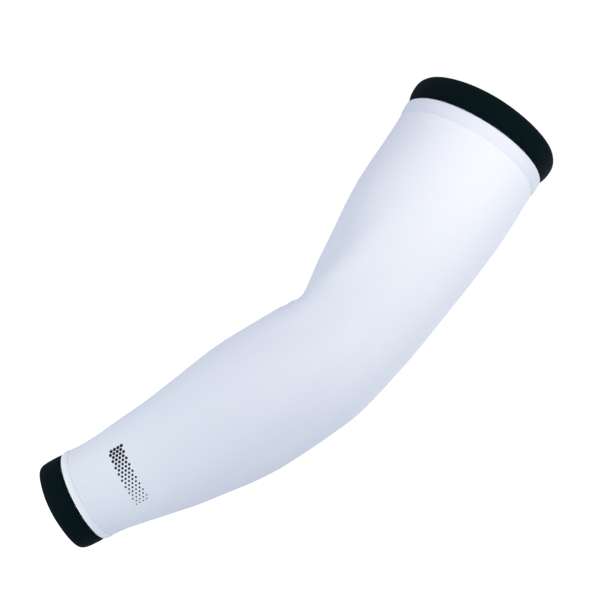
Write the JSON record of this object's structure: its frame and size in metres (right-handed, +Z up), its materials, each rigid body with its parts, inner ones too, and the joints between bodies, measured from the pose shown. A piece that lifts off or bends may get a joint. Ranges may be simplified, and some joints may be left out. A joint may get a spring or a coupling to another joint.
{
  "type": "arm sleeve",
  "caption": "Stretch-knit arm sleeve from upper arm to wrist, bent at the elbow, white cloth with black elastic bands at both ends.",
  "frame": {"origin": "centre of the upper opening, level with its rim", "axes": "+Z up along the upper arm and out of the upper opening, the forearm bends towards -X, +Y across the plane of the bend"},
  "size_m": [0.1768, 0.1056, 0.3853],
  "materials": {
    "white_knit": "smooth fine stretch knit with a soft sheen",
    "black_elastic": "matt ribbed elastic knit"
  },
  "bodies": {
    "root": {"sleeve_body": "white_knit", "upper_band": "black_elastic", "wrist_band": "black_elastic"}
  },
  "joints": []
}
